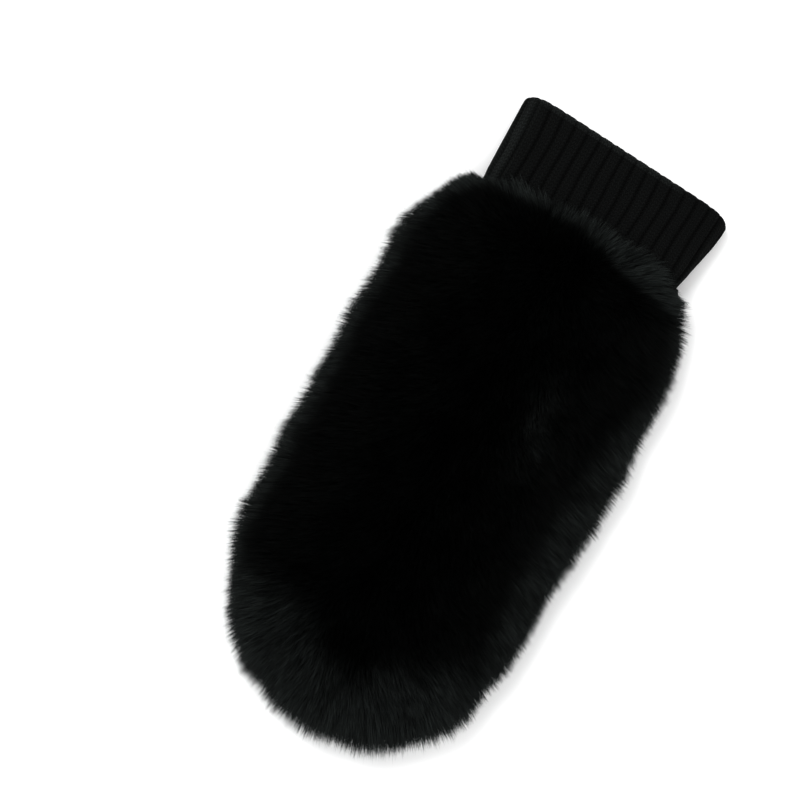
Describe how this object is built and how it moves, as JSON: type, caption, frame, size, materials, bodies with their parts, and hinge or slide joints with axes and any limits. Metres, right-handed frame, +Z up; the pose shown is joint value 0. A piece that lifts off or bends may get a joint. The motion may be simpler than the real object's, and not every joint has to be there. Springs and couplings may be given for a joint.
{
  "type": "fur-backed knitted mitten",
  "caption": "Left-hand winter mitten lying palm down: deep-pile fur back, knitted palm, thumb folded under the palm and a ribbed knit cuff.",
  "frame": {"origin": "on the surface that the mitten lies on, under the middle of its bounding box", "axes": "+Z up, away from the surface it lies on; +Y along the hand from the fingertips to the cuff; the thumb lies under the -X side"},
  "size_m": [0.1292, 0.2744, 0.0416],
  "materials": {
    "fur": "long glossy black hair",
    "palm_knit": "soft matt black knit, part plain and part two-by-two rib",
    "thumb_knit": "soft matt black plain knit",
    "cuff_knit": "soft matt black two-by-two rib knit"
  },
  "bodies": {
    "root": {"fur_back": "fur", "palm": "palm_knit", "thumb": "thumb_knit", "cuff": "cuff_knit"}
  },
  "joints": []
}
